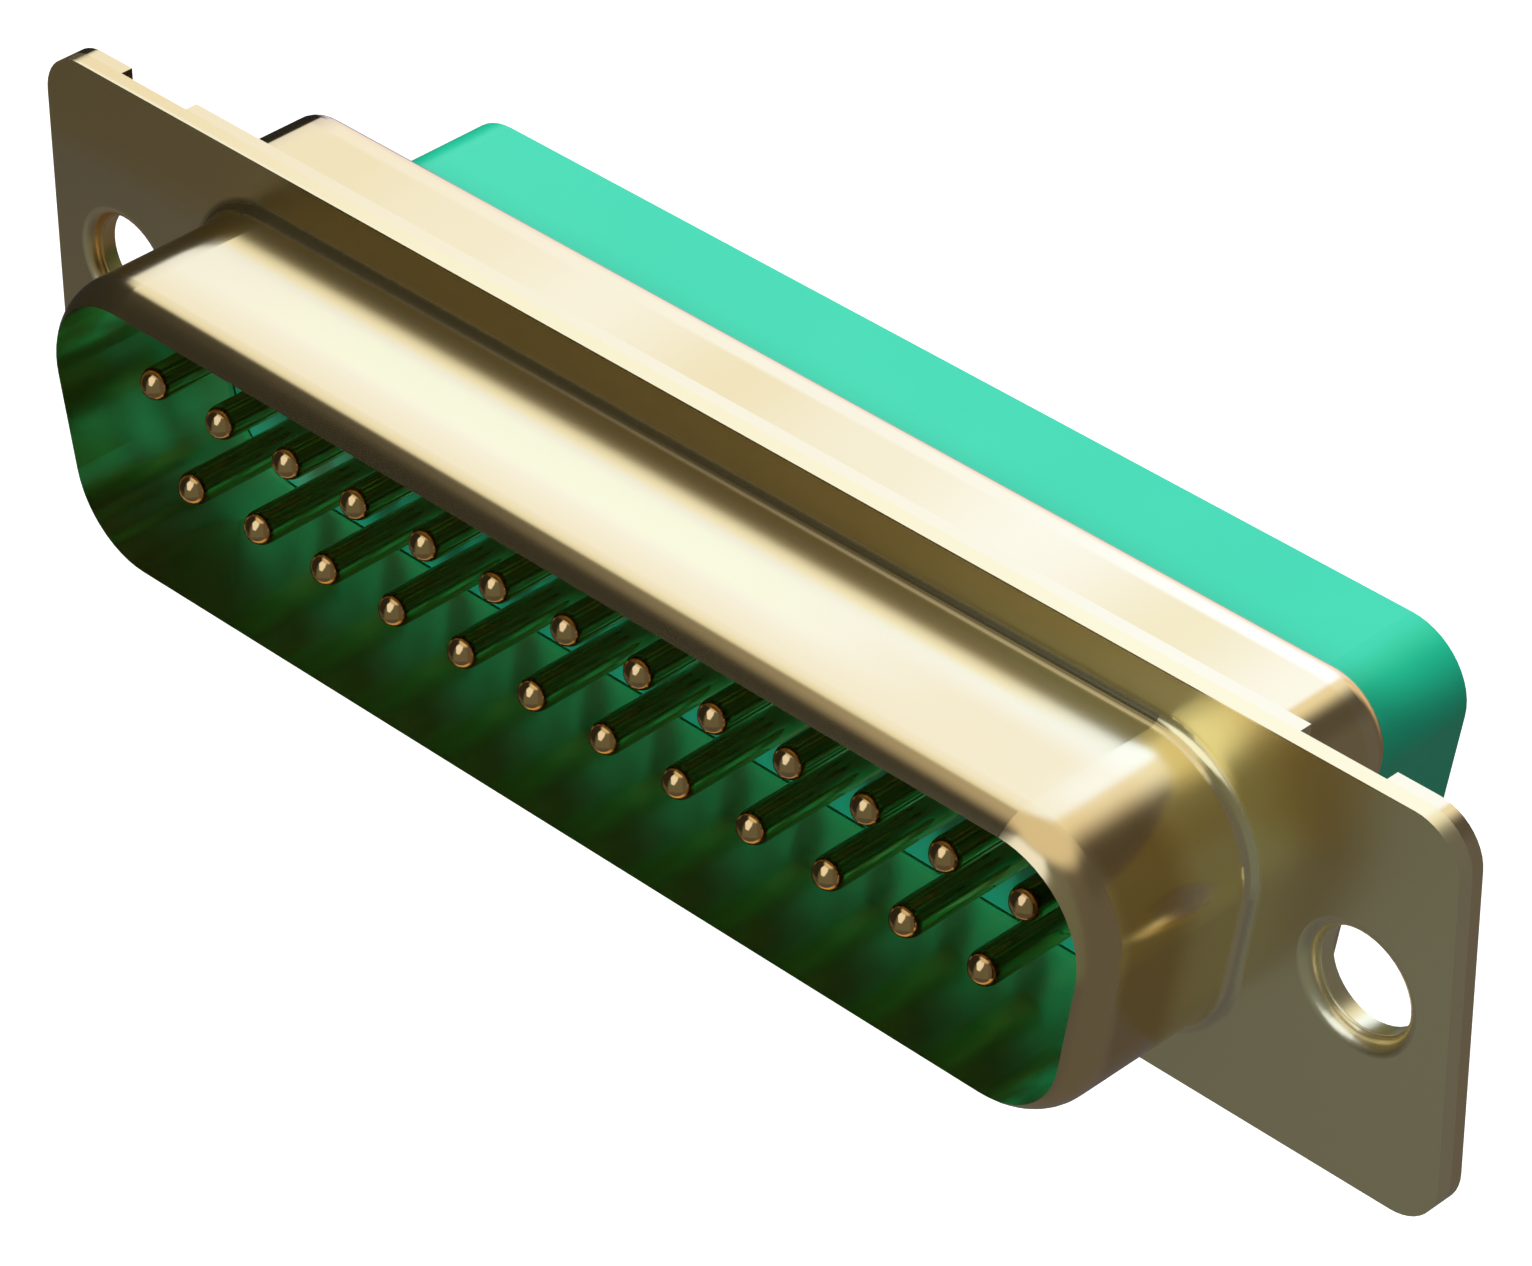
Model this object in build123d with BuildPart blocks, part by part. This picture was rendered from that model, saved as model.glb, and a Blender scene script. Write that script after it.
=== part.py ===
from build123d import *
from math import cos, radians, sqrt, tan
import os

# A 25-way D-subminiature plug for a panel or a cable hood, with removable crimp contacts.
# The origin is midway between the two fixing holes, on the front face of the flange.
# +X runs along the connector, -Y points at the mating half and +Z is up, the wide side of the D.

# Contact pattern: two staggered rows, the long one on top
long_row_count = 13
pitch = 2.77
row_spacing = 2.84

# Crimp contact
pin_diameter = 1.02
pin_land = 1.2
tip_setback = 0.78
shoulder_relief = 0.025
shoulder_length = 0.8
neck_step = 0.09
barrel_gap = 0.25
barrel_floor = 1.5
barrel_wall = 0.275
barrel_inset = 0.44
wire_bore_diameter = 1.2
sight_hole_diameter = 0.5
sight_hole_inset = 0.5

# Retention clip: a rolled sleeve with two tines that close behind the shoulder of a contact
clip_sheet = 0.12
clip_length = 2.15
clip_ring_length = 0.8
clip_seam = 0.25
tine_opening = 1.0
tine_gap = 0.05

# Running room of the contacts and clips in their cavities
pin_clearance = 0.05
shoulder_clearance = 0.05
clip_bore_clearance = 0.105
clip_clearance = 0.05
barrel_clearance = 0.1
cavity_lead_in = 0.2

# Sheet thickness of the two stamped shells
front_sheet = 0.5
rear_sheet = 0.4

# Mating shroud: margins run from the contact pattern to the inside of the D, at mid height
side_lean = 10.0
shroud_end_margin = 2.63
shroud_row_margin = 2.76
shroud_corner_radius = 2.7
shroud_reach = 5.83
lip_radius = 1.5
root_radius = 0.4
seat_edge_radius = 0.2

# Box drawn in the rear shell: margins run from the inside of the mating D to its outside
box_side_margin = 0.815
box_row_margin = 1.175
box_corner_radius = 1.88
box_edge_radius = 0.5
box_root_radius = 0.35

# Flange and fixing holes
hole_standoff = 4.27
hole_diameter = 3.05
hole_rim_rounding = 0.39
hole_step = 0.06
collar_wall = 0.25
collar_clearance = 0.05
flange_end_margin = 3.0
flange_rim = 0.92
flange_corner_radius = 1.5
notch_width = 2.8
notch_depth = 0.8
notch_inset = 1.22

# Insulator halves: body margins run from the contact pattern to its outside
clip_seat_depth = 0.2
rear_plate = 1.8
body_length = 5.34
body_end_margin = 2.2
body_row_margin = 2.08
body_corner_radius = 1.98
boss_clearance = 0.05
plate_clearance = 0.08
body_clearance = 0.1

selector_slack = 0.01

# Depths along Y, from the front face of the flange
flange_back = front_sheet + rear_sheet
shoulder_back = pin_land + shoulder_length
clip_end = shoulder_back + clip_length
clip_ring_start = clip_end - clip_ring_length
parting_plane = shoulder_back + clip_seat_depth
pocket_end = parting_plane + rear_plate
box_back = pocket_end + rear_sheet
body_back = pocket_end + body_length
barrel_start = clip_ring_start + barrel_gap
barrel_end = body_back - barrel_inset
wire_bore_end = barrel_start + barrel_floor
pin_tip = tip_setback - shroud_reach

# Radii about each fixing hole's axis: its coined rim narrows in one step to the collar's bore
hole_radius = hole_diameter / 2
rim_inner = hole_radius + hole_step
rim_outer = rim_inner + hole_rim_rounding
collar_radius = hole_radius + collar_wall

# Radii about each contact's axis
pin_radius = pin_diameter / 2
neck_radius = pin_radius + neck_step
barrel_radius = wire_bore_diameter / 2 + barrel_wall
shoulder_radius = barrel_radius - shoulder_relief
clip_inner = barrel_radius + clip_bore_clearance
clip_outer = clip_inner + clip_sheet
pin_hole = pin_radius + pin_clearance
shoulder_hole = shoulder_radius + shoulder_clearance
clip_hole = clip_outer + clip_clearance
barrel_hole = barrel_radius + barrel_clearance

# Places in the X-Z plane
short_row_count = long_row_count - 1
row_length = (long_row_count - 1) * pitch
mating_width = row_length + 2 * shroud_end_margin
mating_height = row_spacing + 2 * shroud_row_margin
box_width = mating_width + 2 * box_side_margin
box_height = mating_height + 2 * box_row_margin
hole_place = mating_width / 2 + hole_standoff
flange_width = 2 * (hole_place + flange_end_margin)
flange_height = box_height + 2 * flange_rim
hole_places = [(-hole_place, 0), (hole_place, 0)]
notch_places = [(side * (hole_place - notch_inset), edge * flange_height / 2)
                for side in (-1, 1) for edge in (-1, 1)]
contact_places = [
    ((i - (count - 1) / 2) * pitch, z)
    for count, z in ((long_row_count, row_spacing / 2), (short_row_count, -row_spacing / 2))
    for i in range(count)
]


def facing(y):
    """Plane square to Y at a given depth, looking at the mating side."""
    return Plane.XZ.offset(-y)


def d_profile(width, height, corner_radius):
    """D with its wide side up; the width is taken at mid height."""
    lean = height / 2 * tan(radians(side_lean))
    with BuildSketch() as profile:
        with BuildLine():
            Polyline(
                (width / 2 + lean, height / 2),
                (-width / 2 - lean, height / 2),
                (-width / 2 + lean, -height / 2),
                (width / 2 - lean, -height / 2),
                close=True,
            )
        make_face()
        fillet(profile.vertices(), corner_radius)
    return profile.sketch


def d_grown(width, height, corner_radius, by):
    """Sizes of the D that lies outside another one by the same distance all round."""
    return width + 2 * by / cos(radians(side_lean)), height + 2 * by, corner_radius + by


def lengthwise(x, y, z):
    """Plane along a round feature's axis, for the half profile that is revolved about it."""
    return Plane(origin=(x, y, z), x_dir=(1, 0, 0), z_dir=(0, 0, 1))


def rims(part, y, radius):
    """Circular edges of one radius, square to Y at a given depth."""
    level = part.edges().filter_by(GeomType.CIRCLE)
    level = level.filter_by_position(Axis.Y, y - selector_slack, y + selector_slack)
    return level.filter_by(lambda edge: abs(edge.radius - radius) < selector_slack)


def inner_outline(part, y):
    """Edges of the opening, or of the raised part, inside the flat face at a given depth."""
    level = part.faces().filter_by(Axis.Y)
    level = level.filter_by_position(Axis.Y, y - selector_slack, y + selector_slack)
    return level.sort_by(SortBy.AREA)[-1].inner_wires()[0].edges()


mating_d = (mating_width, mating_height, shroud_corner_radius)
box_d = (box_width, box_height, box_corner_radius)
pocket_d = d_grown(*box_d, -rear_sheet)
plate_d = d_grown(*pocket_d, -plate_clearance)
body_d = (row_length + 2 * body_end_margin, row_spacing + 2 * body_row_margin, body_corner_radius)

os.makedirs("parts", exist_ok=True)

# Front shell: the flange, the drawn shroud and the collars of the fixing holes are one sheet.
# The lip is rolled over further than the sheet is thick, so the bore cuts into its curve.
# Each collar passes through the rear sheet, and its front rim is coined round.
lip_setback = lip_radius - sqrt(lip_radius**2 - (lip_radius - front_sheet) ** 2)
with BuildPart() as front_shell:
    with BuildSketch(facing(0)):
        RectangleRounded(flange_width, flange_height, flange_corner_radius)
    extrude(amount=-front_sheet)
    with BuildSketch(facing(0)):
        add(d_profile(*d_grown(*mating_d, front_sheet)))
    extrude(amount=shroud_reach + lip_setback)
    fillet(front_shell.faces().sort_by(Axis.Y)[0].edges(), lip_radius)
    fillet(inner_outline(front_shell, 0), root_radius)
    with BuildSketch(facing(front_sheet)):
        add(d_profile(*mating_d))
    extrude(amount=front_sheet + shroud_reach + lip_setback, mode=Mode.SUBTRACT)
    fillet(inner_outline(front_shell, front_sheet), seat_edge_radius)
    with BuildSketch(facing(front_sheet)):
        with Locations(*hole_places):
            Circle(collar_radius)
    extrude(amount=-rear_sheet)
    for x, z in hole_places:
        with BuildSketch(lengthwise(x, 0, z)):
            with BuildLine():
                rim = RadiusArc((rim_outer, 0), (rim_inner, hole_rim_rounding), hole_rim_rounding)
                step_end = (hole_radius, hole_rim_rounding + hole_step)
                step = RadiusArc(rim @ 1, step_end, hole_step)
                Polyline(step @ 1, (hole_radius, flange_back), (0, flange_back), (0, 0), rim @ 0)
            make_face()
        revolve(axis=Axis((x, 0, z), (0, 1, 0)), mode=Mode.SUBTRACT)
front_shell.part.label = "front_shell"
export_step(front_shell.part, "parts/front_shell.step")

# Rear shell: a second sheet behind the first, with the box that holds the insulator.
with BuildPart() as rear_shell:
    with BuildSketch(facing(front_sheet)):
        RectangleRounded(flange_width, flange_height, flange_corner_radius)
        with Locations(*notch_places):
            Rectangle(notch_width, 2 * notch_depth, mode=Mode.SUBTRACT)
    extrude(amount=-rear_sheet)
    with BuildSketch(facing(flange_back)):
        add(d_profile(*box_d))
    extrude(amount=flange_back - box_back)
    fillet(rear_shell.faces().sort_by(Axis.Y)[-1].edges(), box_edge_radius)
    fillet(inner_outline(rear_shell, flange_back), box_root_radius)
    with BuildSketch(facing(front_sheet)):
        add(d_profile(*pocket_d))
    extrude(amount=front_sheet - pocket_end, mode=Mode.SUBTRACT)
    with BuildSketch(facing(pocket_end)):
        add(d_profile(*d_grown(*body_d, body_clearance)))
    extrude(amount=-rear_sheet, mode=Mode.SUBTRACT)
    with BuildSketch(facing(front_sheet)):
        with Locations(*hole_places):
            Circle(collar_radius + collar_clearance)
    extrude(amount=-rear_sheet, mode=Mode.SUBTRACT)
rear_shell.part.label = "rear_shell"
export_step(rear_shell.part, "parts/rear_shell.step")

# Each cavity is a row of steps: radius, start and end along Y.
front_cavity = [
    (pin_hole, 0, pin_land),
    (shoulder_hole, pin_land, shoulder_back),
    (clip_hole, shoulder_back, parting_plane),
]
rear_cavity = [(clip_hole, parting_plane, clip_end), (barrel_hole, clip_end, body_back)]

# Front half of the insulator: a boss in the root of the shroud and a plate behind the sheet.
with BuildPart() as front_insulator:
    with BuildSketch(facing(front_sheet)):
        add(d_profile(*plate_d))
    extrude(amount=front_sheet - parting_plane)
    with BuildSketch(facing(front_sheet)):
        add(d_profile(*d_grown(*mating_d, -boss_clearance)))
    extrude(amount=front_sheet)
    for radius, start, end in front_cavity:
        with BuildSketch(facing(start)):
            with Locations(*contact_places):
                Circle(radius)
        extrude(amount=start - end, mode=Mode.SUBTRACT)
front_insulator.part.label = "front_insulator"
export_step(front_insulator.part, "parts/front_insulator.step")

# Rear half of the insulator: a plate held in the box and the body that stands out behind it.
with BuildPart() as rear_insulator:
    with BuildSketch(facing(parting_plane)):
        add(d_profile(*plate_d))
    extrude(amount=-rear_plate)
    with BuildSketch(facing(pocket_end)):
        add(d_profile(*body_d))
    extrude(amount=-body_length)
    for radius, start, end in rear_cavity:
        with BuildSketch(facing(start)):
            with Locations(*contact_places):
                Circle(radius)
        extrude(amount=start - end, mode=Mode.SUBTRACT)
    chamfer(rims(rear_insulator, body_back, barrel_hole), cavity_lead_in)
rear_insulator.part.label = "rear_insulator"
export_step(rear_insulator.part, "parts/rear_insulator.step")


def build_contact(x, z):
    """Turned pin with a domed tip, a shoulder, a neck and a crimp barrel open to the rear."""
    with BuildPart() as contact:
        with BuildSketch(lengthwise(x, 0, z)):
            with BuildLine():
                dome = RadiusArc((0, pin_tip), (pin_radius, pin_tip + pin_radius), -pin_radius)
                Polyline(
                    dome @ 1,
                    (pin_radius, pin_land),
                    (shoulder_radius, pin_land),
                    (shoulder_radius, shoulder_back),
                    (neck_radius, shoulder_back),
                    (neck_radius, barrel_start),
                    (barrel_radius, barrel_start),
                    (barrel_radius, barrel_end),
                    (wire_bore_diameter / 2, barrel_end),
                    (wire_bore_diameter / 2, wire_bore_end),
                    (0, wire_bore_end),
                    dome @ 0,
                )
            make_face()
        revolve(axis=Axis((x, 0, z), (0, 1, 0)))
        with BuildSketch(lengthwise(x, wire_bore_end + sight_hole_inset, z)):
            Circle(sight_hole_diameter / 2)
        extrude(amount=2 * barrel_radius, mode=Mode.SUBTRACT)
    return contact


def build_clip(x, z):
    """Rolled spring sleeve with a seam along its ring and a tine at each side."""
    tine_front = shoulder_back + tine_gap
    tine_inner = neck_radius + tine_gap
    with BuildPart() as clip:
        with BuildSketch(lengthwise(x, 0, z)):
            with BuildLine():
                Polyline(
                    (clip_inner, clip_end),
                    (clip_inner, clip_ring_start),
                    (tine_inner, tine_front),
                    (tine_inner + clip_sheet, tine_front),
                    (clip_outer, clip_ring_start),
                    (clip_outer, clip_end),
                    close=True,
                )
            make_face()
        revolve(axis=Axis((x, 0, z), (0, 1, 0)))
        with BuildSketch(lengthwise(x, clip_ring_start, z)):
            Rectangle(tine_opening, clip_length, align=(Align.CENTER, Align.MAX))
        extrude(amount=clip_outer, both=True, mode=Mode.SUBTRACT)
        with BuildSketch(lengthwise(x, clip_ring_start, z)):
            Rectangle(clip_seam, 2 * clip_length)
        extrude(amount=clip_outer, mode=Mode.SUBTRACT)
    return clip


for number, place in enumerate(contact_places, start=1):
    contact = build_contact(*place)
    contact.part.label = f"pin_contact_{number:02d}"
    export_step(contact.part, f"parts/{contact.part.label}.step")
    clip = build_clip(*place)
    clip.part.label = f"retention_clip_{number:02d}"
    export_step(clip.part, f"parts/{clip.part.label}.step")
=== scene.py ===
"""Studio scene for a 25-way D-subminiature plug: finishes, light, floor and camera, in metres."""

from math import cos, pi, radians, sin

import bmesh
import bpy
from mathutils import Matrix, Vector

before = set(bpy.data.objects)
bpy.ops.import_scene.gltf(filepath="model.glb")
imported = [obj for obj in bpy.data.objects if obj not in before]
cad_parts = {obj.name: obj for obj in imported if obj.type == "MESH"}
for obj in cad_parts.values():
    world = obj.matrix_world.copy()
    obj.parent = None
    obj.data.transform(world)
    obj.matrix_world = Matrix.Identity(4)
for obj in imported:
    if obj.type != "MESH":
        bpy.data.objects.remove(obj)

MM = 0.001

# Camera: where it stands round its aim point, in degrees and metres, and its lens and sensor in
# millimetres
CAMERA_AIM = Vector((1.715, 1.025, -0.707)) * MM
CAMERA_AZIMUTH = 45.487
CAMERA_ELEVATION = 35.512
CAMERA_ROLL = -0.357
CAMERA_DISTANCE = 178.795 * MM
CAMERA_LENS = 156.68
CAMERA_SENSOR = 36.0
CAMERA_CLIP_START = 10 * MM
CAMERA_CLIP_END = 20.0

# Backdrop, tent, and the floor below the tent
BACKDROP = (1.0, 1.0, 1.0)
TENT_RADIUS = 500 * MM
TENT_SEGMENTS = 96
TENT_RINGS = 48
FLOOR_DROP = 520 * MM
FLOOR_SIZE = 6.0
FLOOR_COLOUR = (0.8, 0.8, 0.8)
FLOOR_GLOW = 0.85

# Lamps: they light the plastic, and the tent gives the metal its reflections.
# Each has the direction that it shines from, its size and the level at which it lights white.
LAMP_DISTANCE = 500 * MM
LAMPS = {
    "overhead": (Vector((-0.35, -0.30, 0.89)), 260 * MM, 0.525),
    "front": (Vector((-0.02, -0.74, 0.67)), 170 * MM, 0.42),
}

# Cards and panels of the tent. The azimuth runs from +Y towards +X, and clockwise is the same
# angle from 0 to 360. An edge is a name and the two values between which a card comes in, or
# goes out where the first is the larger. All angles are in degrees.
GROUND_REAR = (0.130, 0.123, 0.128)
GROUND_FRONT = (0.160, 0.174, 0.168)
GROUND_BELOW = (0.105, 0.103, 0.125)
IN_FRONT = (("clockwise", 116, 130), ("clockwise", 226, 210))
FAR_BELOW = (("elevation", -39, -49),)

SIDE_RIGHT = (0.095, 0.088, 0.086)
AT_RIGHT = (("azimuth", 10, 40), ("azimuth", 110, 70), ("elevation", 10, 35))
SIDE_LEFT = (0.026, 0.026, 0.025)
LEFT_SIDE = (("clockwise", 199, 217), ("azimuth", -20, -50))
AT_LEFT = (*LEFT_SIDE, ("elevation", -38, -16))

CEILING = (0.79, 0.74, 0.71)
CEILING_EDGE = (47, 64)
CEILING_LEFT_RISE = 2

# The rear panel has a colour at its left, and stops from left to right, each with the azimuths
# between which its colour comes in. Its left edge leans: the offset grows with the elevation.
REAR_PANEL = (0.96, 1.02, 1.15)
REAR_PANEL_STOPS = (
    (-70, -47, (1.06, 1.21, 1.76)),
    (-46, -38, (1.09, 1.30, 2.06)),
    (-18, -4, (0.95, 0.92, 0.90)),
)
REAR_PANEL_EDGES = (
    ("leaning", -54, -46),
    ("azimuth", 36, 1),
    ("elevation", -30, 12),
    ("elevation", 70, 58),
)
LEAN_START = (12, 20)
LEAN_ELEVATIONS = (20, 44)
LEAN_OFFSETS = (10, 23)

# The front panel widens upwards, and its upper part reaches further left
FRONT_PANEL = (1.02, 1.15, 1.63)
FRONT_PANEL_MIDDLE = 181
FRONT_PANEL_ELEVATIONS = (5, 35)
FRONT_PANEL_HALF_WIDTHS = (10, 24)
FRONT_PANEL_EDGES = (("beside", 5, -5), ("elevation", 0, 7), ("elevation", 62, 50))
LEFT_REACH = 7
LEFT_REACH_START = (18, 30)

# Soft light on the plastic by the direction that it comes from, and the part of a unit vector's
# Z or Y between which each level comes in
SOFT_BELOW = (0.05, 0.05, 0.05)
SOFT_LEVEL = (0.20, 0.20, 0.20)
SOFT_LEVEL_Z = (-0.7, 0.1)
SOFT_FRONT = (0.03, 0.03, 0.03)
SOFT_FRONT_Y = (-0.2, -0.7)
SOFT_ABOVE = (0.62, 0.62, 0.62)
SOFT_ABOVE_Z = (0.1, 0.9)

# Finishes: the two colours between which each drifts, its roughness, and its noises, each with
# a scale per metre and a detail
GOLD = ((0.90, 0.745, 0.41), (0.89, 0.735, 0.41))
SHROUD_ROUGHNESS = 0.17
FLANGE_ROUGHNESS = 0.29
REAR_ROUGHNESS = 0.10
SHELL_GRAIN = (3000.0, 4.0)
CONTACT_GOLD = ((0.80, 0.53, 0.20), (0.78, 0.52, 0.21))
CONTACT_ROUGHNESS = 0.09
SPRING_ALLOY = ((0.85, 0.55, 0.32), (0.82, 0.52, 0.30))
SPRING_ROUGHNESS = 0.28
CONTACT_GRAIN = (6000.0, 4.0)
METAL_DRIFT = (160.0, 2.0)
METAL_DRIFT_SPAN = (0.35, 0.75)
GRAIN_SPREAD = (0.96, 1.04)
ORANGE_PEEL = 0.01 * MM

TEAL = ((0.006, 0.562, 0.317), (0.010, 0.58, 0.328))
PLASTIC_ROUGHNESS = (0.27, 0.31)
PLASTIC_IOR = 1.5
PLASTIC_FLOW = (220.0, 3.0)
PLASTIC_FLOW_SPAN = (0.3, 0.8)
PLASTIC_GRAIN = (9000.0, 2.0)
MOULD_TEXTURE = 0.02 * MM
BUMP_STRENGTH = 0.05

# Painted light on the plating: tints that paint reflections, highlights and shade by place. An
# edge is an axis and the two places, in millimetres, between which a tint comes in, or goes out
# where the first is the larger.
# Colours of the painted light: each paints a reflection, highlight or shade, as said where it is
# laid
OLIVE = (0.96, 0.860, 0.490)
WARM = (0.85, 0.660, 0.315)
BROWN = (0.66, 0.470, 0.200)
TAN = (0.83, 0.600, 0.240)
AMBER = (0.95, 0.720, 0.290)
OCHRE = (0.88, 0.680, 0.280)
KHAKI = (0.91, 0.760, 0.340)
LEMON = (0.90, 0.785, 0.410)
CREAM = (0.90, 0.735, 0.355)
CLAY = (0.62, 0.440, 0.240)
PALE = (0.965, 0.810, 0.490)
ORANGE = (0.84, 0.520, 0.190)
SHROUD_TOP = ("Z", 3.6, 4.1)
TOP_EDGE = ("Z", 6.20, 6.27)
BELOW_TOP_EDGE = ("Z", 6.27, 6.20)
UPPER_FLANGE = (("Y", -0.35, -0.15), ("Z", 2.5, 4.4), BELOW_TOP_EDGE)
# Painted light on the front shell: reflections, highlights and shade laid into the gold
FRONT_PAINTED_LIGHT = (
    # Painted reflection: olive-yellow on the right of the flange and the shroud's root
    (OLIVE, (("X", 2, 14), ("Y", -2.6, -0.6), BELOW_TOP_EDGE)),
    # Painted shade: darker, warmer band round the shroud's mouth, outside and in
    (WARM, (("Y", -3.2, -5.0),)),
    # Painted shade: darker, warmer reflection on the shroud's right part towards its mouth
    (WARM, (("X", 7, 14), ("X", 18, 16), ("Y", -1.8, -3.0))),
    # Painted shade: dark brown band on the shroud's right side
    (BROWN, (("X", 17.5, 19), ("Y", -1.6, -3.0), ("Y", -4.9, -4.3))),
    # Painted reflection: warmer colour along the flange's top edge
    (CREAM, (TOP_EDGE,)),
    # Painted reflection: tan just behind the front face of the flange's left half
    (TAN, (("X", -8, -26), ("Y", 0.02, 0.15))),
    # Painted highlight: yellower highlight on the middle of the shroud's top
    (LEMON, (("X", -17, -10), ("X", 10, 4), ("Y", -3.8, -3.2), ("Y", -1.8, -2.3), SHROUD_TOP)),
    # Painted reflection: warm fading edge of the highlight on the shroud's top near its root
    (AMBER, (("X", 17, 12), ("Y", -2.0, -1.5), ("Y", -0.7, -1.1), SHROUD_TOP)),
    # Painted highlight: ochre near the flange's upper right corner
    (OCHRE, (("X", 24.8, 20.8), *UPPER_FLANGE)),
    # Painted reflection: khaki on the upper flange right of the middle
    (KHAKI, (("X", 6, 13), ("X", 22, 18), *UPPER_FLANGE)),
)
# Painted light on the rear shell: reflections, highlights and shade laid into the gold
REAR_PAINTED_LIGHT = (
    # Painted reflection: tan that grows towards the left end of the box
    (TAN, (("X", 2, -38),)),
    # Painted highlight: pale strip on the top of the box towards its right
    (PALE, (("X", 6, 20), ("Z", 5.20, 5.32), ("Y", 1.0, 1.4))),
    # Painted reflection: orange along the box's back edge
    (ORANGE, (("Y", 3.85, 4.10),)),
    # Painted shade: dark clay on the box's left end
    (CLAY, (("X", -18.1, -19.4), ("Y", 1.0, 1.4))),
)

# Painted reflections along the rear shell's box: tan spots, in millimetres. Each row of spots has
# its first middle, how sharp its spots are and how strong.
PAINTED_REFLECTION_SPOT = (0.83, 0.635, 0.275)
REFLECTION_SPOT_PITCH = 16
REFLECTION_SPOT_ROWS = ((-1, 2, 1.0), (5, 4, 0.45))
REFLECTION_SPOT_EDGES = (("Y", 1.05, 1.25), ("Y", 3.6, 3.4))

# The flat of the flange, and the slight curve in which the shroud widens towards its root, in
# millimetres
FLANGE_FLAT = (("Y", -0.08, -0.01), BELOW_TOP_EDGE)
FLARE_START = -2.0
FLARE_LENGTH = 1.8
FLARE_RADIUS = 14.0


def node(tree, kind, inputs=None, **settings):
    """Adds a shader node; an input is a plain value or the output that feeds it."""
    made = tree.nodes.new(kind)
    for name, value in settings.items():
        setattr(made, name, value)
    for name, value in (inputs or {}).items():
        if isinstance(value, bpy.types.NodeSocket):
            tree.links.new(value, made.inputs[name])
        else:
            made.inputs[name].default_value = value
    return made


def calc(tree, operation, *values):
    return node(tree, "ShaderNodeMath", dict(enumerate(values)), operation=operation).outputs[0]


def fade(tree, value, low, high):
    """0 below low, 1 above high, and a soft step between them; low may lie above high."""
    inputs = {"Value": value, "From Min": low, "From Max": high}
    settings = {"interpolation_type": "SMOOTHSTEP"}
    if low > high:
        inputs.update({"From Min": high, "From Max": low, "To Min": 1.0, "To Max": 0.0})
    return node(tree, "ShaderNodeMapRange", inputs, **settings).outputs["Result"]


def grade(tree, value, span, results):
    """Goes evenly from the first result to the second while the value crosses the span."""
    inputs = dict(zip(("From Min", "From Max", "To Min", "To Max"), (*span, *results)))
    return node(tree, "ShaderNodeMapRange", {"Value": value, **inputs}).outputs["Result"]


def within(tree, values, edges):
    """1 inside all the edges and 0 outside: the product of a soft step at each."""
    result = None
    for name, low, high in edges:
        step = fade(tree, values[name], low, high)
        result = calc(tree, "MULTIPLY", result, step) if result else step
    return result


def blend(tree, share, first, second):
    """Colour that goes from first to second as share goes from 0 to 1."""
    made = node(tree, "ShaderNodeMix", {"Factor": share}, data_type="RGBA")
    for name, value in (("A", first), ("B", second)):
        socket = next(s for s in made.inputs if s.name == name and s.type == "RGBA")
        if isinstance(value, bpy.types.NodeSocket):
            tree.links.new(value, socket)
        else:
            socket.default_value = (*value, 1.0)
    return next(s for s in made.outputs if s.type == "RGBA")


def separate(tree, vector):
    return node(tree, "ShaderNodeSeparateXYZ", {"Vector": vector}).outputs


def surface_place(tree):
    """Object coordinates of the shaded point, in metres."""
    return node(tree, "ShaderNodeTexCoord").outputs["Object"]


def millimetres(tree, place):
    """The place's three coordinates, in millimetres."""
    inputs = {0: place, "Scale": 1 / MM}
    return separate(tree, node(tree, "ShaderNodeVectorMath", inputs, operation="SCALE").outputs[0])


def noise(tree, place, scale, detail):
    inputs = {"Vector": place, "Scale": scale, "Detail": detail}
    return node(tree, "ShaderNodeTexNoise", inputs).outputs["Fac"]


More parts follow.
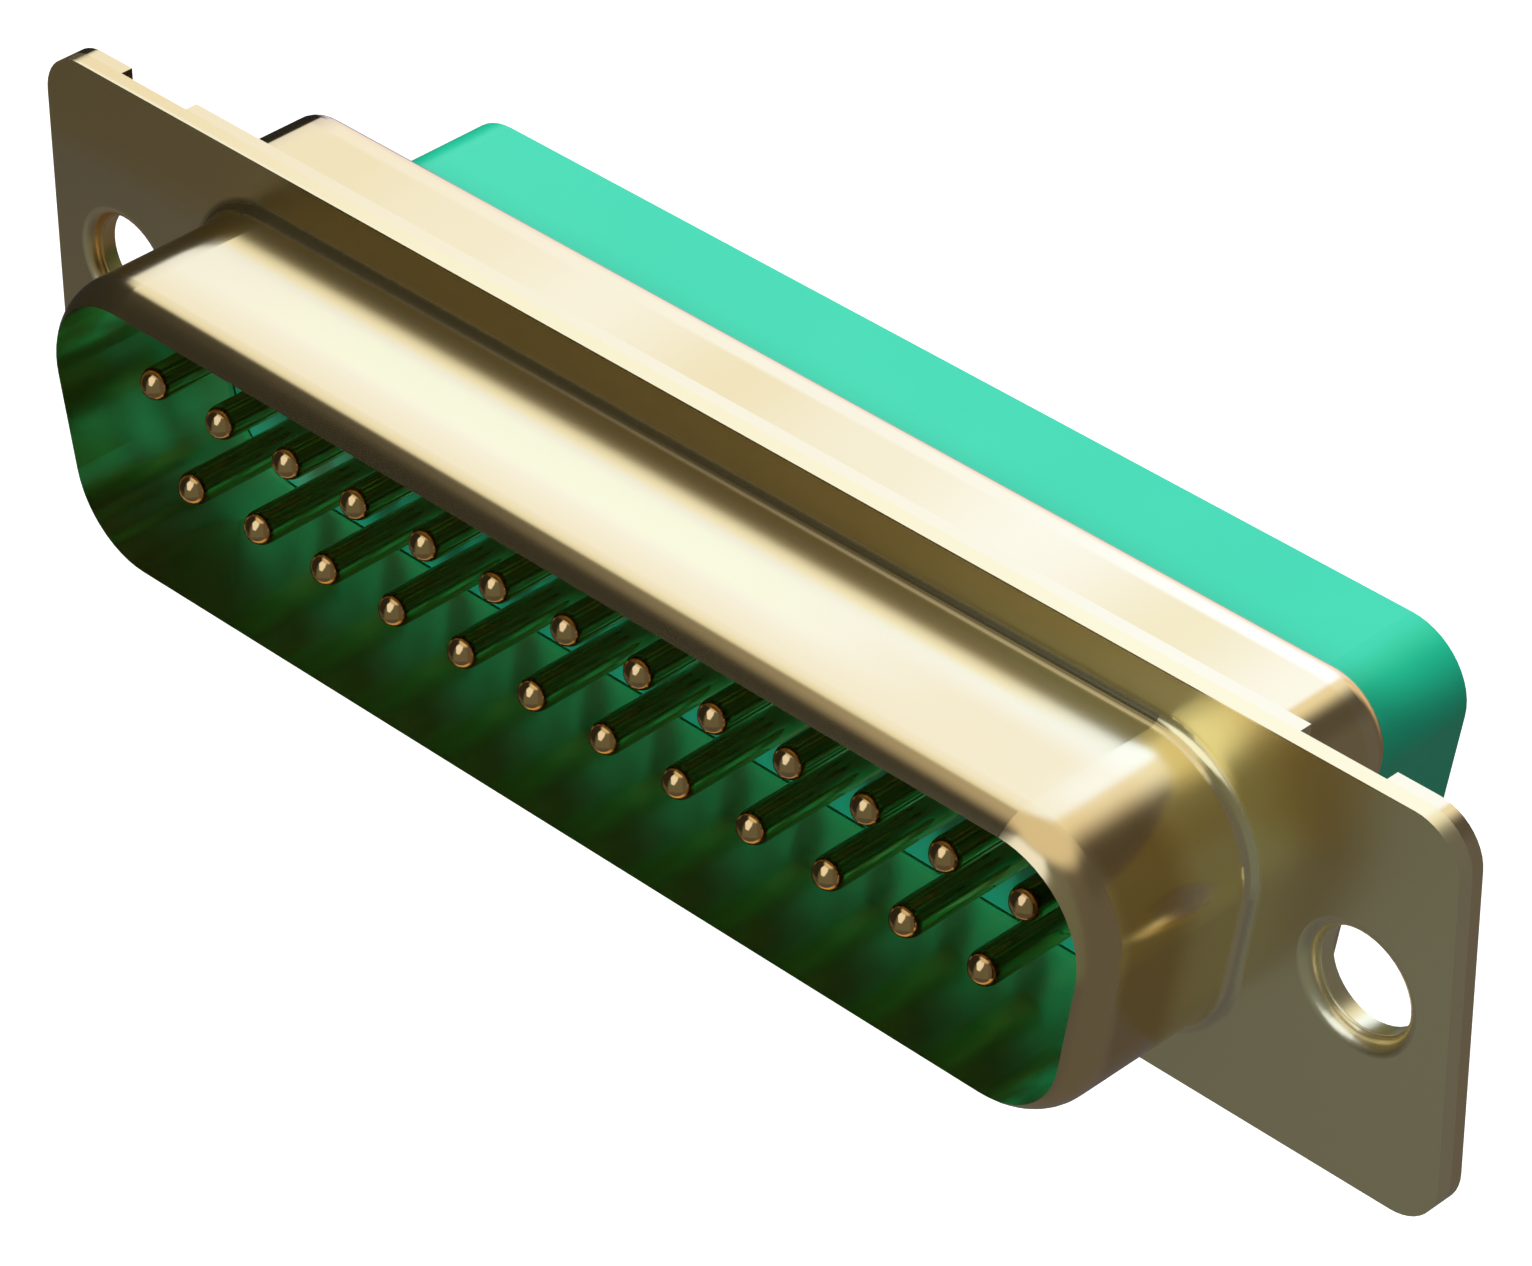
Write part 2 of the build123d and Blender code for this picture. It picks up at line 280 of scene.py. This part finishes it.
def studio_light(tree, direction):
    """Colour of the light that comes from a direction: dark sides, two panels and a ceiling."""
    axes = separate(tree, direction)
    azimuth = calc(tree, "DEGREES", calc(tree, "ARCTAN2", axes["X"], axes["Y"]))
    elevation = calc(tree, "DEGREES", calc(tree, "ARCSINE", axes["Z"]))
    clockwise = calc(tree, "FLOORED_MODULO", azimuth, 360)
    angles = {"azimuth": azimuth, "elevation": elevation, "clockwise": clockwise}

    ground_front = blend(tree, within(tree, angles, FAR_BELOW), GROUND_FRONT, GROUND_BELOW)
    light = blend(tree, within(tree, angles, IN_FRONT), GROUND_REAR, ground_front)
    light = blend(tree, within(tree, angles, AT_RIGHT), light, SIDE_RIGHT)
    light = blend(tree, within(tree, angles, AT_LEFT), light, SIDE_LEFT)
    left_side = within(tree, angles, LEFT_SIDE)
    height = calc(tree, "MULTIPLY_ADD", left_side, -CEILING_LEFT_RISE, elevation)
    light = blend(tree, fade(tree, height, *CEILING_EDGE), light, CEILING)

    lean = grade(tree, elevation, LEAN_ELEVATIONS, LEAN_OFFSETS)
    lean = calc(tree, "MULTIPLY", fade(tree, elevation, *LEAN_START), lean)
    angles["leaning"] = calc(tree, "ADD", azimuth, lean)
    rear_colour = REAR_PANEL
    for start, end, colour in REAR_PANEL_STOPS:
        rear_colour = blend(tree, fade(tree, azimuth, start, end), rear_colour, colour)
    light = blend(tree, within(tree, angles, REAR_PANEL_EDGES), light, rear_colour)

    reach = calc(tree, "MULTIPLY", fade(tree, elevation, *LEFT_REACH_START), LEFT_REACH)
    to_left = calc(tree, "SUBTRACT", clockwise, FRONT_PANEL_MIDDLE)
    to_right = calc(tree, "SUBTRACT", FRONT_PANEL_MIDDLE, clockwise)
    aside = calc(tree, "MAXIMUM", calc(tree, "SUBTRACT", to_left, reach), to_right)
    half_width = grade(tree, elevation, FRONT_PANEL_ELEVATIONS, FRONT_PANEL_HALF_WIDTHS)
    angles["beside"] = calc(tree, "SUBTRACT", aside, half_width)
    return blend(tree, within(tree, angles, FRONT_PANEL_EDGES), light, FRONT_PANEL)


def soft_light(tree, direction):
    """Plain light that grows from below to above, and is weak from low in front."""
    axes = separate(tree, direction)
    light = blend(tree, fade(tree, axes["Z"], *SOFT_LEVEL_Z), SOFT_BELOW, SOFT_LEVEL)
    light = blend(tree, fade(tree, axes["Y"], *SOFT_FRONT_Y), light, SOFT_FRONT)
    return blend(tree, fade(tree, axes["Z"], *SOFT_ABOVE_Z), light, SOFT_ABOVE)


def sees_background(tree):
    """1 for the rays that show the background: from the camera, from gloss and through glass."""
    path = node(tree, "ShaderNodeLightPath").outputs
    seen = calc(tree, "MAXIMUM", path["Is Camera Ray"], path["Is Glossy Ray"])
    return calc(tree, "MAXIMUM", seen, path["Is Transmission Ray"])


def new_material(name):
    material = bpy.data.materials.new(name)
    material.use_nodes = True
    material.node_tree.nodes.clear()
    return material, material.node_tree


def end_material(tree, shader):
    node(tree, "ShaderNodeOutputMaterial", {"Surface": shader})


def link_object(name, data):
    made = bpy.data.objects.new(name, data)
    bpy.context.scene.collection.objects.link(made)
    return made


def build_world():
    """White where it is seen, and soft light on the plastic."""
    world = bpy.data.worlds.new("studio")
    bpy.context.scene.world = world
    world.use_nodes = True
    tree = world.node_tree
    tree.nodes.clear()
    direction = node(tree, "ShaderNodeTexCoord").outputs["Generated"]
    light = blend(tree, sees_background(tree), soft_light(tree, direction), BACKDROP)
    background = node(tree, "ShaderNodeBackground", {"Color": light, "Strength": 1.0})
    node(tree, "ShaderNodeOutputWorld", {"Surface": background.outputs[0]})


def build_tent():
    """Sphere of cards and panels round the object, which only its gloss reflects."""
    mesh = bpy.data.meshes.new("tent")
    form = bmesh.new()
    bmesh.ops.create_uvsphere(
        form, u_segments=TENT_SEGMENTS, v_segments=TENT_RINGS, radius=TENT_RADIUS
    )
    form.to_mesh(mesh)
    form.free()
    tent = link_object("tent", mesh)
    material, tree = new_material("tent_cards")
    place = surface_place(tree)
    direction = node(tree, "ShaderNodeVectorMath", {0: place}, operation="NORMALIZE").outputs[0]
    glow = node(tree, "ShaderNodeEmission", {"Color": studio_light(tree, direction)})
    end_material(tree, glow.outputs[0])
    material.cycles.emission_sampling = "NONE"
    mesh.materials.append(material)
    tent.visible_camera = False
    tent.visible_diffuse = False
    tent.visible_transmission = False
    tent.visible_volume_scatter = False
    tent.visible_shadow = False


def build_floor():
    """Pale floor that carries the object's shadow, and is near white where it is seen."""
    half = FLOOR_SIZE / 2
    mesh = bpy.data.meshes.new("floor")
    square = [(x * half, y * half, -FLOOR_DROP) for x, y in ((-1, -1), (1, -1), (1, 1), (-1, 1))]
    mesh.from_pydata(square, [], [(0, 1, 2, 3)])
    floor = link_object("floor", mesh)
    material, tree = new_material("pale_floor")
    lit = node(tree, "ShaderNodeBsdfDiffuse", {"Color": (*FLOOR_COLOUR, 1.0)})
    level = calc(tree, "MULTIPLY", sees_background(tree), FLOOR_GLOW)
    glow = node(tree, "ShaderNodeEmission", {"Strength": level})
    whole = node(tree, "ShaderNodeAddShader", {0: lit.outputs[0], 1: glow.outputs[0]})
    end_material(tree, whole.outputs[0])
    mesh.materials.append(material)
    floor.visible_diffuse = False


def build_lamps():
    for name, (direction, size, level) in LAMPS.items():
        lamp = bpy.data.lights.new(name, "AREA")
        lamp.shape = "DISK"
        lamp.size = size
        lamp.energy = level * pi**2 * LAMP_DISTANCE**2
        holder = link_object(name, lamp)
        holder.location = direction.normalized() * LAMP_DISTANCE
        holder.rotation_mode = "QUATERNION"
        holder.rotation_quaternion = (-direction).to_track_quat("-Z", "Y")
        holder.visible_glossy = False
        holder.visible_camera = False


def build_camera():
    azimuth, elevation = radians(CAMERA_AZIMUTH), radians(CAMERA_ELEVATION)
    outward = Vector(
        (sin(azimuth) * cos(elevation), -cos(azimuth) * cos(elevation), sin(elevation))
    )
    camera = bpy.data.cameras.new("camera")
    camera.lens = CAMERA_LENS
    camera.sensor_width = CAMERA_SENSOR
    camera.sensor_fit = "HORIZONTAL"
    camera.clip_start = CAMERA_CLIP_START
    camera.clip_end = CAMERA_CLIP_END
    holder = link_object("camera", camera)
    turn = (-outward).to_track_quat("-Z", "Y").to_matrix().to_4x4()
    roll = Matrix.Rotation(radians(CAMERA_ROLL), 4, "Z")
    place = Matrix.Translation(CAMERA_AIM + outward * CAMERA_DISTANCE)
    holder.matrix_world = place @ turn @ roll
    bpy.context.scene.camera = holder


# Paints light into the plating's colour: each tint is a painted reflection, highlight or shade
def paint_light_on_plating(tree, place, colour, tints):
    axes = millimetres(tree, place)
    for tint, edges in tints:
        colour = blend(tree, within(tree, axes, edges), colour, tint)
    return colour


# Paints reflections, highlights and shade into the front shell's colour by place
def paint_front_light(tree, place, colour):
    return paint_light_on_plating(tree, place, colour, FRONT_PAINTED_LIGHT)


def paint_rear_light(tree, place, colour):
    """Painted light: tints, and tan reflection spots at an even pitch, strong and weak by turns.
    """
    colour = paint_light_on_plating(tree, place, colour, REAR_PAINTED_LIGHT)
    axes = millimetres(tree, place)
    # Painted reflections: rows of tan spots along the box
    share = 0.0
    for first, sharpness, strength in REFLECTION_SPOT_ROWS:
        along = calc(tree, "SUBTRACT", axes["X"], first)
        turn = calc(tree, "MULTIPLY", along, 2 * pi / REFLECTION_SPOT_PITCH)
        swing = calc(tree, "MULTIPLY_ADD", calc(tree, "COSINE", turn), 0.5, 0.5)
        spot = calc(tree, "MULTIPLY", calc(tree, "POWER", swing, sharpness), strength)
        share = calc(tree, "ADD", spot, share)
    share = calc(tree, "MULTIPLY", share, within(tree, axes, REFLECTION_SPOT_EDGES))
    return blend(tree, share, colour, PAINTED_REFLECTION_SPOT)


def front_roughness(tree, place):
    """The drawn shroud and the top edge are smoother than the flat of the flange."""
    flat = within(tree, millimetres(tree, place), FLANGE_FLAT)
    step = FLANGE_ROUGHNESS - SHROUD_ROUGHNESS
    return calc(tree, "MULTIPLY_ADD", flat, step, SHROUD_ROUGHNESS)


def root_flare(tree, place):
    """Normal of the shroud where it widens towards its root in a long slight curve."""
    along = calc(tree, "SUBTRACT", millimetres(tree, place)["Y"], FLARE_START)
    along = calc(tree, "MINIMUM", calc(tree, "MAXIMUM", along, 0), FLARE_LENGTH)
    rise = calc(tree, "DIVIDE", calc(tree, "MULTIPLY", along, along), 2 * FLARE_RADIUS)
    return node(tree, "ShaderNodeBump", {"Height": rise, "Distance": MM}).outputs[0]


def plated_metal(name, colours, roughness, grain, painted_light=None, curved=None):
    """Metal plating: a slight colour drift, fine grain in the gloss and a faint orange peel.

    The roughness is a plain value or a function that grades it by place. The painted light
    (tints that paint reflections, highlights and shade into the colour) and the slight curve
    under the orange peel are functions of the place too.
    """
    material, tree = new_material(name)
    place = surface_place(tree)
    drift = noise(tree, place, *METAL_DRIFT)
    colour = blend(tree, fade(tree, drift, *METAL_DRIFT_SPAN), *colours)
    # Painted reflections, highlights and shade, laid into the colour by place
    if painted_light:
        colour = painted_light(tree, place, colour)
    spread = grade(tree, noise(tree, place, *grain), (0, 1), GRAIN_SPREAD)
    even = roughness(tree, place) if callable(roughness) else roughness
    peel = node(
        tree,
        "ShaderNodeBump",
        {"Height": drift, "Strength": BUMP_STRENGTH, "Distance": ORANGE_PEEL},
    )
    if curved:
        tree.links.new(curved(tree, place), peel.inputs["Normal"])
    metal = node(
        tree,
        "ShaderNodeBsdfPrincipled",
        {
            "Base Color": colour,
            "Metallic": 1.0,
            "Roughness": calc(tree, "MULTIPLY", spread, even),
            "Normal": peel.outputs[0],
        },
    )
    end_material(tree, metal.outputs[0])
    return material


def moulded_plastic(name, colours):
    """Thermoplastic: faint flow marks in the colour and a fine moulded surface."""
    material, tree = new_material(name)
    place = surface_place(tree)
    flow = fade(tree, noise(tree, place, *PLASTIC_FLOW), *PLASTIC_FLOW_SPAN)
    fine = noise(tree, place, *PLASTIC_GRAIN)
    texture = node(
        tree,
        "ShaderNodeBump",
        {"Height": fine, "Strength": BUMP_STRENGTH, "Distance": MOULD_TEXTURE},
    )
    plastic = node(
        tree,
        "ShaderNodeBsdfPrincipled",
        {
            "Base Color": blend(tree, flow, *colours),
            "Roughness": grade(tree, fine, (0, 1), PLASTIC_ROUGHNESS),
            "IOR": PLASTIC_IOR,
            "Normal": texture.outputs[0],
        },
    )
    end_material(tree, plastic.outputs[0])
    return material


def finish_nodes():
    """Gives each CAD node its finish: numbered nodes share one, and the insulators are plastic."""
    finishes = {
        "front_shell": plated_metal(
            "front_plating", GOLD, front_roughness, SHELL_GRAIN, paint_front_light, root_flare
        ),
        "rear_shell": plated_metal("rear_plating", GOLD, REAR_ROUGHNESS, SHELL_GRAIN, paint_rear_light),
        "pin_contact": plated_metal(
            "contact_plating", CONTACT_GOLD, CONTACT_ROUGHNESS, CONTACT_GRAIN
        ),
        "retention_clip": plated_metal(
            "clip_spring", SPRING_ALLOY, SPRING_ROUGHNESS, CONTACT_GRAIN
        ),
    }
    plastic = moulded_plastic("insulator", TEAL)
    for name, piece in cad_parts.items():
        for slot in piece.material_slots:
            slot.material = finishes.get(name.rstrip("_0123456789"), plastic)


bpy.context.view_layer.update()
build_camera()
build_world()
build_tent()
build_floor()
build_lamps()
finish_nodes()
bpy.context.scene.view_settings.view_transform = "Standard"
